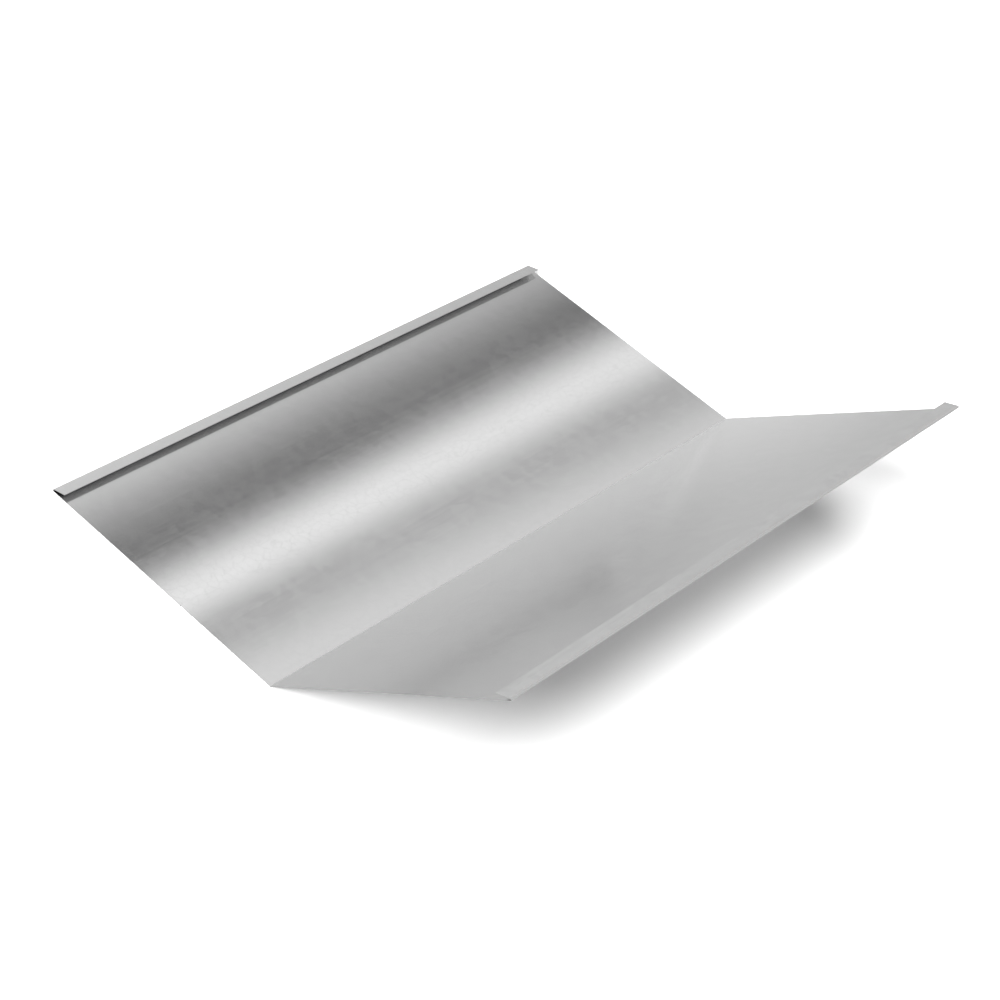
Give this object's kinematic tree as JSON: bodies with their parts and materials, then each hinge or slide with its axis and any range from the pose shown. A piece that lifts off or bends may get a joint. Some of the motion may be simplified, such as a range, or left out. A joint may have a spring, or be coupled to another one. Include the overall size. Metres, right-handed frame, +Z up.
{
  "type": "valley flashing",
  "caption": "Wide shallow V of thin galvanised sheet steel with each long edge turned back as an open hem; lines a roof valley and carries rainwater off.",
  "frame": {"origin": "bottom centre of the part's box, on the plane of the left wing's underside", "axes": "+Z up from the level floor that the left wing lies on, +Y along the valley fold and the hems, +X from the lying left wing towards the raised right wing"},
  "size_m": [0.5258, 0.7, 0.193],
  "materials": {
    "galvanised_steel": "smooth hot-dip zinc coating, satin"
  },
  "bodies": {
    "root": {"flashing_sheet": "galvanised_steel"}
  },
  "joints": []
}
